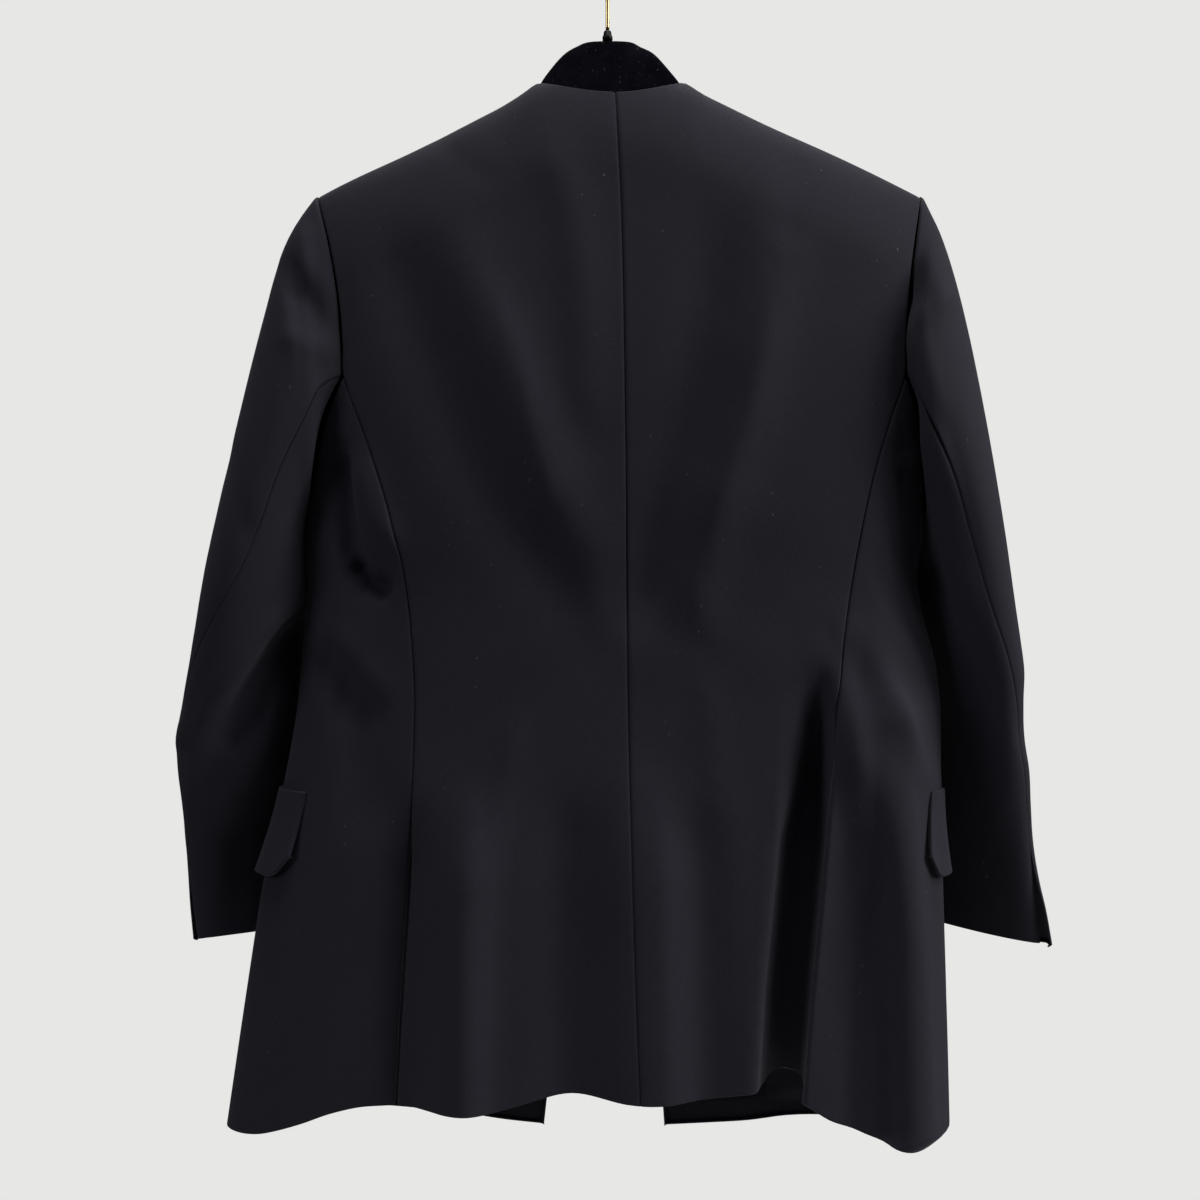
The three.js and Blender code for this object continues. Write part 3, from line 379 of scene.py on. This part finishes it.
creases = [
    # crests and valleys of the back, most of them running down to the hem
    {"on": ["backPanelLeft", "backPanelRight"], "width": 0.036, "tip": 0.003, "depth": 0.0088, "end": 0.02,
     "line": [(-0.0345, -0.600), (-0.0360, -0.704), (-0.0375, -0.761), (-0.0400, -0.870)]},
    {"on": ["backPanelLeft", "backPanelRight"], "width": 0.032, "tip": 0.004, "depth": 0.0078, "end": 0.02,
     "line": [(0.1010, -0.615), (0.1015, -0.704), (0.0993, -0.775), (0.0980, -0.870)]},
    {"on": ["backPanelRight", "sidePanelRight", "pocketFlapRight"],
     "width": 0.045, "tip": 0.005, "depth": 0.0070, "start": 0.5,
     "line": [(-0.186, -0.400), (-0.188, -0.463), (-0.187, -0.519), (-0.194, -0.555), (-0.202, -0.620)]},
    {"on": ["sidePanelRight", "pocketFlapRight"],
     "width": 0.024, "tip": 0.003, "depth": 0.0100, "start": 0.2, "end": 0.02,
     "line": [(-0.198, -0.545), (-0.206, -0.590), (-0.209, -0.704), (-0.216, -0.761), (-0.222, -0.880)]},
    {"on": ["backPanelLeft", "backPanelRight"], "width": 0.014, "depth": -0.0045, "start": 0.4, "end": 0.02,
     "line": [(-0.019, -0.600), (-0.021, -0.704), (-0.024, -0.870)]},
    {"on": ["backPanelLeft", "sidePanelLeft"], "width": 0.018, "depth": -0.0045, "start": 0.4, "end": 0.02,
     "line": [(0.140, -0.620), (0.138, -0.704), (0.136, -0.870)]},
    {"on": ["sidePanelRight", "pocketFlapRight"], "width": 0.012, "depth": -0.0065, "start": 0.2, "end": 0.02,
     "line": [(-0.175, -0.510), (-0.181, -0.560), (-0.188, -0.605), (-0.190, -0.704), (-0.196, -0.880)]},
    {"on": ["backPanelRight"], "width": 0.017, "tip": 0.003, "depth": 0.0050, "start": 0.3, "end": 0.3,
     "line": [(-0.122, -0.250), (-0.1115, -0.3067), (-0.0973, -0.3634), (-0.0782, -0.420),
              (-0.0654, -0.477)]},
    {"on": ["backPanelLeft"], "width": 0.016, "tip": 0.003, "depth": 0.0036, "start": 0.3, "end": 0.3,
     "line": [(0.094, -0.250), (0.0679, -0.3067), (0.0537, -0.3634), (0.0395, -0.420), (0.0268, -0.4626)]},
    {"on": ["backPanelRight"], "width": 0.018, "depth": -0.0100, "start": 0.35, "end": 0.02,
     "line": [(-0.147, -0.580), (-0.137, -0.648), (-0.130, -0.704), (-0.124, -0.761), (-0.117, -0.880)]},
    # left side panel, drawn up under the arm
    {"on": ["sidePanelLeft"], "width": 0.008, "depth": -0.0075, "start": 0.25, "end": 0.1,
     "line": [(0.192, -0.374), (0.187, -0.420), (0.180, -0.467)]},
    {"on": ["sidePanelLeft"], "face": "left", "width": 0.030, "depth": 0.004, "start": 0.4, "end": 0.4,
     "line": [(0.010, -0.385), (0.012, -0.437), (0.012, -0.485)]},
    {"on": ["sidePanelLeft"], "width": 0.007, "depth": -0.013, "start": 0.2, "end": 0.25,
     "line": [(0.184, -0.460), (0.171, -0.478), (0.150, -0.483)]},
    {"on": ["sidePanelLeft", "backPanelLeft"], "width": 0.011, "depth": 0.004,
     "line": [(0.182, -0.375), (0.166, -0.429), (0.144, -0.466)]},
    {"on": ["sidePanelLeft"], "width": 0.012, "depth": -0.0035,
     "line": [(0.217, -0.520), (0.191, -0.554), (0.162, -0.588)]},
    {"on": ["sidePanelLeft", "backPanelLeft"], "width": 0.011, "depth": 0.0022,
     "line": [(0.208, -0.500), (0.177, -0.537), (0.148, -0.570)]},
    # right side panel
    {"on": ["sidePanelRight"], "width": 0.009, "depth": -0.004,
     "line": [(-0.209, -0.360), (-0.211, -0.434), (-0.216, -0.500)]},
    {"on": ["sidePanelRight"], "width": 0.0035, "depth": 0.0022,
     "line": [(-0.203, -0.396), (-0.216, -0.390), (-0.230, -0.380)]},
    {"on": ["sidePanelRight"], "width": 0.011, "depth": 0.0035,
     "line": [(-0.182, -0.520), (-0.206, -0.583), (-0.232, -0.640)]},
    {"on": ["sidePanelRight"], "width": 0.011, "depth": -0.003, "end": 0.05,
     "line": [(-0.191, -0.610), (-0.196, -0.703), (-0.198, -0.801), (-0.199, -0.880)]},
    # left sleeve, from the cap down
    {"on": ["topSleeveLeft"], "width": 0.006, "depth": 0.002,
     "line": [(0.219, -0.215), (0.216, -0.243), (0.213, -0.275)]},
    {"on": ["topSleeveLeft"], "width": 0.009, "depth": -0.0035,
     "line": [(0.236, -0.240), (0.216, -0.270), (0.190, -0.312)]},
    {"on": ["topSleeveLeft"], "width": 0.006, "depth": 0.002,
     "line": [(0.240, -0.300), (0.214, -0.310), (0.190, -0.317)]},
    {"on": ["topSleeveLeft"], "width": 0.008, "depth": -0.0012,
     "line": [(0.274, -0.370), (0.262, -0.420), (0.246, -0.462)]},
    {"on": ["underSleeveLeft"], "width": 0.008, "depth": 0.0045, "start": 0.12,
     "line": [(0.200, -0.430), (0.208, -0.464), (0.225, -0.488), (0.242, -0.511),
              (0.271, -0.553), (0.290, -0.600)]},
    {"on": ["underSleeveLeft"], "width": 0.013, "depth": -0.005,
     "line": [(0.224, -0.505), (0.250, -0.552), (0.268, -0.606)]},
    {"on": ["topSleeveLeft", "underSleeveLeft"], "width": 0.006, "depth": 0.0018, "start": 0.35,
     "line": [(0.316, -0.594), (0.296, -0.598), (0.262, -0.606)]},
    {"on": ["topSleeveLeft", "underSleeveLeft"], "width": 0.008, "depth": -0.0020,
     "line": [(0.312, -0.617), (0.294, -0.622), (0.262, -0.622)]},
    {"on": ["underSleeveLeft"], "width": 0.009, "depth": 0.0015,
     "line": [(0.282, -0.660), (0.288, -0.700), (0.300, -0.750)]},
    # right sleeve
    {"on": ["topSleeveRight"], "width": 0.007, "depth": -0.0025,
     "line": [(-0.216, -0.245), (-0.219, -0.266), (-0.221, -0.287)]},
    {"on": ["topSleeveRight"], "width": 0.007, "depth": 0.0025,
     "line": [(-0.214, -0.300), (-0.232, -0.283), (-0.252, -0.268)]},
    {"on": ["underSleeveRight", "topSleeveRight"], "width": 0.008, "depth": 0.0045, "start": 0.15, "end": 0.4,
     "line": [(-0.224, -0.345), (-0.232, -0.386), (-0.238, -0.411), (-0.245, -0.455), (-0.253, -0.494),
              (-0.257, -0.534), (-0.258, -0.605)]},
    {"on": ["underSleeveRight"], "width": 0.010, "depth": -0.004,
     "line": [(-0.228, -0.420), (-0.236, -0.490), (-0.240, -0.560), (-0.242, -0.640)]},
    {"on": ["underSleeveRight"], "width": 0.009, "depth": 0.002,
     "line": [(-0.272, -0.545), (-0.287, -0.615), (-0.285, -0.680)]},
    {"on": ["topSleeveRight"], "width": 0.010, "depth": 0.003,
     "line": [(-0.212, -0.280), (-0.224, -0.329), (-0.236, -0.376)]},
    # fronts, and the fronts of the sleeves
    {"on": ["frontLeft"], "face": "front", "width": 0.016, "depth": 0.004,
     "line": [(0.122, -0.230), (0.106, -0.330), (0.082, -0.430)]},
    {"on": ["frontLeft"], "face": "front", "width": 0.014, "depth": -0.003,
     "line": [(0.152, -0.270), (0.130, -0.370), (0.100, -0.480)]},
    {"on": ["frontLeft"], "face": "front", "width": 0.022, "tip": 0.004, "depth": 0.006, "end": 0.02,
     "line": [(0.092, -0.560), (0.104, -0.680), (0.112, -0.870)]},
    {"on": ["frontLeft"], "face": "front", "width": 0.018, "depth": -0.004, "end": 0.02,
     "line": [(0.050, -0.620), (0.057, -0.740), (0.064, -0.870)]},
    {"on": ["frontRight"], "face": "front", "width": 0.015, "depth": 0.0035,
     "line": [(-0.108, -0.245), (-0.095, -0.350), (-0.076, -0.440)]},
    {"on": ["frontRight"], "face": "front", "width": 0.013, "depth": -0.0035,
     "line": [(-0.148, -0.300), (-0.122, -0.400), (-0.088, -0.510)]},
    {"on": ["frontRight"], "face": "front", "width": 0.020, "tip": 0.004, "depth": 0.0055, "end": 0.02,
     "line": [(-0.078, -0.540), (-0.090, -0.690), (-0.096, -0.870)]},
    {"on": ["frontRight"], "face": "front", "width": 0.016, "depth": -0.004, "end": 0.02,
     "line": [(-0.130, -0.610), (-0.139, -0.740), (-0.146, -0.870)]},
    {"on": ["topSleeveLeft", "underSleeveLeft"], "face": "front", "width": 0.008, "depth": -0.0035,
     "line": [(0.196, -0.420), (0.222, -0.448), (0.256, -0.456)]},
    {"on": ["topSleeveLeft", "underSleeveLeft"], "face": "front", "width": 0.008, "depth": 0.0025,
     "line": [(0.204, -0.446), (0.232, -0.474), (0.268, -0.486)]},
    {"on": ["topSleeveLeft", "underSleeveLeft"], "face": "front", "width": 0.009, "depth": -0.003,
     "line": [(0.214, -0.490), (0.240, -0.506), (0.272, -0.530)]},
    {"on": ["topSleeveRight", "underSleeveRight"], "face": "front", "width": 0.009, "depth": -0.0035,
     "line": [(-0.204, -0.400), (-0.232, -0.436), (-0.258, -0.450)]},
    {"on": ["topSleeveRight", "underSleeveRight"], "face": "front", "width": 0.008, "depth": -0.0028,
     "line": [(-0.216, -0.470), (-0.240, -0.490), (-0.276, -0.500)]},
    # small creases of the back panels
    {"on": ["backPanelRight"], "width": 0.014, "depth": -0.0016,
     "line": [(-0.140, -0.165), (-0.130, -0.205), (-0.121, -0.250)]},
    {"on": ["backPanelLeft"], "width": 0.009, "depth": -0.0009,
     "line": [(0.128, -0.150), (0.100, -0.183), (0.072, -0.200)]},
    {"on": ["backPanelLeft"], "width": 0.010, "depth": 0.0012,
     "line": [(0.060, -0.560), (0.072, -0.620), (0.080, -0.680)]},
    {"on": ["backPanelRight"], "width": 0.012, "depth": 0.001,
     "line": [(-0.060, -0.520), (-0.074, -0.580), (-0.078, -0.660)]},
]

# How each kind of edge ends: how far it runs on past the solid's edge, how deep
# its last rows turn in, and the width and depth of the dip beside it.
edgeKinds = {
    "seam": {"past": 0.0009, "turn": 0.0034, "dipWidth": 0.0014, "dip": 0.0004},
    "sleeveSeam": {"past": 0.00085, "turn": 0.0012, "dipWidth": 0.0014, "dip": 0.0003},
    "cap": {"past": 0.0015, "turn": 0.0012, "dipWidth": 0.0014, "dip": 0.0003},
    "hem": {"past": 0.0, "turn": 0.0026, "dipWidth": 0.0010, "dip": 0.0},
    "neck": {"past": 0.0, "turn": 0.0026, "dipWidth": 0.0010, "dip": 0.0},
}


def edgeShape(points, normals, distance, outward, kind):
    shape = edgeKinds[kind]
    dip = shape["dip"] * np.exp(-((distance / shape["dipWidth"]) ** 2))
    nearness = np.clip(1 - distance / edgeTurn, 0, 1)
    points -= normals * (dip + shape["turn"] * nearness ** 2)[:, :, None]
    points += outward * (shape["past"] * nearness)[:, :, None]


# One piece of cloth: its solid's outer sheet, made finer, creased and edged.
def clothPiece(name, plan):
    grid = outerGrid(plan["node"], plan["columns"], plan["rows"], plan["facing"])
    rowLengths = np.linalg.norm(np.diff(grid, axis=0), axis=2).mean(axis=1)
    columnLengths = np.linalg.norm(np.diff(grid, axis=1), axis=2).mean(axis=0)
    rowPlaces, columnPlaces = finePlaces(rowLengths), finePlaces(columnLengths)
    points = curved(grid, rowPlaces)
    points = curved(points.transpose(1, 0, 2), columnPlaces).transpose(1, 0, 2)
    normals = squareTo(points)
    if np.sum(normals.mean(axis=(0, 1)) * plan["facing"]) < 0:
        normals = -normals
    across, down = lengthsAlong(points, 1), lengthsAlong(points, 0)
    middle = across[:, across.shape[1] // 2][:, None]
    uv = np.stack([across - middle, -down], axis=2)
    points += normals * creaseLift(name, points, normals)[:, :, None]
    right = unit(np.gradient(points, axis=1))
    below = unit(np.gradient(points, axis=0))
    edges = plan["edges"]
    edgeShape(points, normals, across, -right, edges["left"])
    edgeShape(points, normals, across[:, -1:] - across, right, edges["right"])
    edgeShape(points, normals, down, -below, edges["top"])
    edgeShape(points, normals, down[-1:] - down, below, edges["bottom"])
    rows, columns = points.shape[0] - 1, points.shape[1] - 1
    sheet = bmesh.new()
    bmesh.ops.create_grid(sheet, x_segments=columns, y_segments=rows, size=1)
    layer = sheet.loops.layers.uv.new("cloth")
    spots = {}
    for vertex in sheet.verts:
        column = round((vertex.co.x + 1) / 2 * columns)
        row = round((1 - vertex.co.y) / 2 * rows)
        spots[vertex] = (row, column)
    for vertex, (row, column) in spots.items():
        vertex.co = points[row, column]
    for face in sheet.faces:
        face.smooth = True
        for loop in face.loops:
            loop[layer].uv = uv[spots[loop.vert]]
    mesh = bpy.data.meshes.new(name)
    sheet.to_mesh(mesh)
    sheet.free()
    piece = bpy.data.objects.new(name, mesh)
    scene.collection.objects.link(piece)
    mesh.materials.append(looks["suiting"])
    shell = piece.modifiers.new("wall", "SOLIDIFY")
    shell.thickness = wall["drawn"]
    shell.offset = -1  # the sheet is the outer face
    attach(piece, "root")
    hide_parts(plan["node"])


panelEdges = {"left": "seam", "right": "seam", "top": "neck", "bottom": "hem"}
sleeveEdges = {"left": "sleeveSeam", "right": "sleeveSeam", "top": "cap", "bottom": "hem"}
flapEdges = dict.fromkeys(panelEdges, "hem")
# The columns and rows are the cells of each solid's outer sheet.
clothPlans = {
    "backPanelLeft": {"node": "back_left", "columns": 18, "rows": 26, "facing": (0, 1, 0)},
    "backPanelRight": {"node": "back_right", "columns": 18, "rows": 26, "facing": (0, 1, 0)},
    "sidePanelLeft": {"node": "side_left", "columns": 12, "rows": 16, "facing": (1, 0.5, 0)},
    "sidePanelRight": {"node": "side_right", "columns": 12, "rows": 16, "facing": (-1, 0.5, 0)},
    "frontLeft": {"node": "front_left", "columns": 12, "rows": 26, "facing": (0, -1, 0)},
    "frontRight": {"node": "front_right", "columns": 12, "rows": 26, "facing": (0, -1, 0)},
    "topSleeveLeft": {"node": "top_sleeve_left", "columns": 13, "rows": 24, "facing": (1, -0.5, 0)},
    "topSleeveRight": {"node": "top_sleeve_right", "columns": 13, "rows": 24, "facing": (-1, -0.5, 0)},
    "underSleeveLeft": {"node": "under_sleeve_left", "columns": 12, "rows": 24, "facing": (-1, 0.6, 0)},
    "underSleeveRight": {"node": "under_sleeve_right", "columns": 12, "rows": 24, "facing": (1, 0.6, 0)},
    "pocketFlapLeft": {"node": "flap_left", "columns": 18, "rows": 4, "facing": (1, 0, 0)},
    "pocketFlapRight": {"node": "flap_right", "columns": 18, "rows": 4, "facing": (-1, 0, 0)},
}
for name, plan in clothPlans.items():
    plan["edges"] = panelEdges
    if "Sleeve" in name:
        plan["edges"] = sleeveEdges
    if "Flap" in name:
        plan["edges"] = flapEdges
    plan["rests"] = ["hanger_body"]
    clothPiece(name, plan)


# The hanger, ferrule and hook start from copies of their own solids.
def copyNode(node):
    body = bmesh.new()
    body.from_mesh(nodes[node].data)
    bmesh.ops.remove_doubles(body, verts=body.verts, dist=wall["merge"])
    return body


def hardPiece(name, body, node, slot):
    for face in body.faces:
        face.smooth = True
    mesh = bpy.data.meshes.new(name)
    body.to_mesh(mesh)
    body.free()
    piece = bpy.data.objects.new(name, mesh)
    scene.collection.objects.link(piece)
    mesh.materials.append(looks[slot])
    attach(piece, "root")
    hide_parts(node)
    return piece


# The hanger's triangles are joined into larger cells, which then round off evenly.
hangerForm = {"flatWithin": math.radians(20), "squareWithin": math.radians(60), "rounds": 2}
hangerShape = copyNode("hanger_body")
bmesh.ops.join_triangles(
    hangerShape, faces=hangerShape.faces,
    angle_face_threshold=hangerForm["flatWithin"], angle_shape_threshold=hangerForm["squareWithin"],
)
hanger = hardPiece("hangerBody", hangerShape, "hanger_body", "flock")
rounding = hanger.modifiers.new("rounding", "SUBSURF")
rounding.levels = rounding.render_levels = hangerForm["rounds"]
hardPiece("ferruleFitting", copyNode("ferrule"), "ferrule", "fitting")
hardPiece("hookWire", copyNode("hook"), "hook", "wire")
print("hanger made")

# A pale floor and background, lamps, and a camera behind the jacket.
studio = {
    "floor": -1.62, "floorSize": 1.1, "floorSides": 96, "floorRoughness": 0.9,
    "pale": (0.80, 0.80, 0.79, 1), "background": (0.80, 0.80, 0.785, 1),
    "glow": (0.55, 0.62, 1.0, 1), "glowStrength": 0.005,
}
ground = bmesh.new()
bmesh.ops.create_circle(ground, cap_ends=True, segments=studio["floorSides"], radius=studio["floorSize"])
bmesh.ops.translate(ground, verts=ground.verts, vec=(0, 0, studio["floor"]))
floorMesh = bpy.data.meshes.new("floor")
ground.to_mesh(floorMesh)
ground.free()
floor = bpy.data.objects.new("floor", floorMesh)
scene.collection.objects.link(floor)
floorLook = Look("floorPaint", {"Base Color": studio["pale"], "Roughness": studio["floorRoughness"]})
floorMesh.materials.append(floorLook.material)

world = bpy.data.worlds.new("studio")
scene.world = world
world.use_nodes = True
sky = world.node_tree.nodes
links = world.node_tree.links
sky["Background"].inputs["Color"].default_value = studio["glow"]
sky["Background"].inputs["Strength"].default_value = studio["glowStrength"]
seen = sky.new("ShaderNodeBackground")  # what the camera sees, which lights nothing
seen.inputs["Color"].default_value = studio["background"]
seen.inputs["Strength"].default_value = 1.0
ray = sky.new("ShaderNodeLightPath")
both = sky.new("ShaderNodeMixShader")
links.new(ray.outputs["Is Camera Ray"], both.inputs[0])
links.new(sky["Background"].outputs[0], both.inputs[1])
links.new(seen.outputs[0], both.inputs[2])
links.new(both.outputs[0], sky["World Output"].inputs[0])

aim = (0, 0, -0.45)
lamps = {
    "windowTop": {"place": (-3.2, 1.0, 3.0), "aim": aim, "size": (1.6, 1.6), "power": 76},
    "window": {"place": (-3.6, 2.2, 0.5), "aim": aim, "size": (1.6, 2.2), "power": 30},
    "windowLow": {"place": (-5, 0.9, 0.8), "aim": aim, "size": (1.6, 2.6), "power": 150},
    "ceiling": {"place": (0, 0.8, 3.6), "aim": aim, "size": (2.0, 1.2), "power": 96},
    "leftWall": {"place": (3.6, 2.2, 0.5), "aim": aim, "size": (1.6, 2.2), "power": 47,
                 "colour": (0.88, 0.92, 1)},
    "room": {"place": (0, 4.8, 0.6), "aim": aim, "size": (3, 3), "power": 4, "colour": (0.8, 0.85, 1)},
    "front": {"place": (0, -1.8, 2.5), "aim": aim, "size": (1.4, 1.0), "power": 42},
}
for name, lamp in lamps.items():
    light = bpy.data.lights.new(name, "AREA")
    light.shape = "RECTANGLE"
    light.size, light.size_y = lamp["size"]
    light.energy = lamp["power"]
    light.color = lamp.get("colour", (1, 1, 1))
    holder = bpy.data.objects.new(name, light)
    scene.collection.objects.link(holder)
    holder.location = lamp["place"]
    heading = Vector(lamp["aim"]) - Vector(lamp["place"])
    holder.rotation_mode = "QUATERNION"
    holder.rotation_quaternion = heading.to_track_quat("-Z", "Y")

view = {"place": (0.0055, 1.360, -0.491), "sensor": 36, "focal": 55.71, "near": 0.01, "far": 50}
lens = bpy.data.cameras.new("camera")
lens.sensor_width = view["sensor"]
lens.lens = view["focal"]
lens.clip_start, lens.clip_end = view["near"], view["far"]
camera = bpy.data.objects.new("camera", lens)
scene.collection.objects.link(camera)
camera.location = view["place"]
camera.rotation_euler = (math.radians(90), 0, math.radians(180))
scene.camera = camera
scene.view_settings.view_transform = "Standard"
print("studio made")
